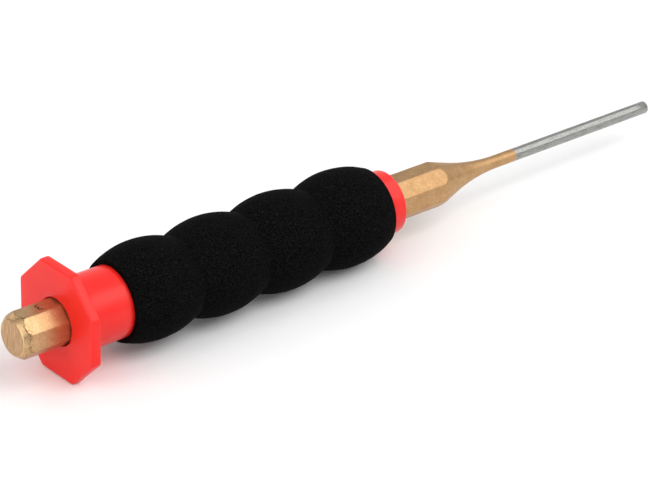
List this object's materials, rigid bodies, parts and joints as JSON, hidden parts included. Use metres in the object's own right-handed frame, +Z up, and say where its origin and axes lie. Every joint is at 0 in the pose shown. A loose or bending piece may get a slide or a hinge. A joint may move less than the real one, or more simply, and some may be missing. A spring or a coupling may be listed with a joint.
{
  "type": "pin punch",
  "caption": "Pin punch: an octagonal steel bar turned down to a straight drive pin, in a plastic hand-guard sleeve with a bulbed foam grip that keeps hammer blows off the hand.",
  "frame": {"origin": "middle of the flat striking face, on the tool's axis", "axes": "+X along the axis from the striking face to the pin's tip; +Z up, square to a flat of the bar and of the guard, as the tool lies on a table"},
  "size_m": [0.185, 0.026, 0.026],
  "materials": {
    "lacquered_steel": "satin",
    "red_plastic": "gloss",
    "black_foam": "matte"
  },
  "bodies": {
    "bar": {"punch": "lacquered_steel"},
    "sleeve": {"guard_sleeve": "red_plastic"},
    "grip": {"foam_grip": "black_foam"}
  },
  "joints": [
    {"name": "sleeve_slide", "type": "slide", "parent": "bar", "child": "sleeve", "axis": [1, 0, 0], "range_m": [-0.1034, 0.1058]},
    {"name": "foam_slide", "type": "slide", "parent": "sleeve", "child": "grip", "axis": [1, 0, 0], "range_m": [0, 0.0773]}
  ]
}
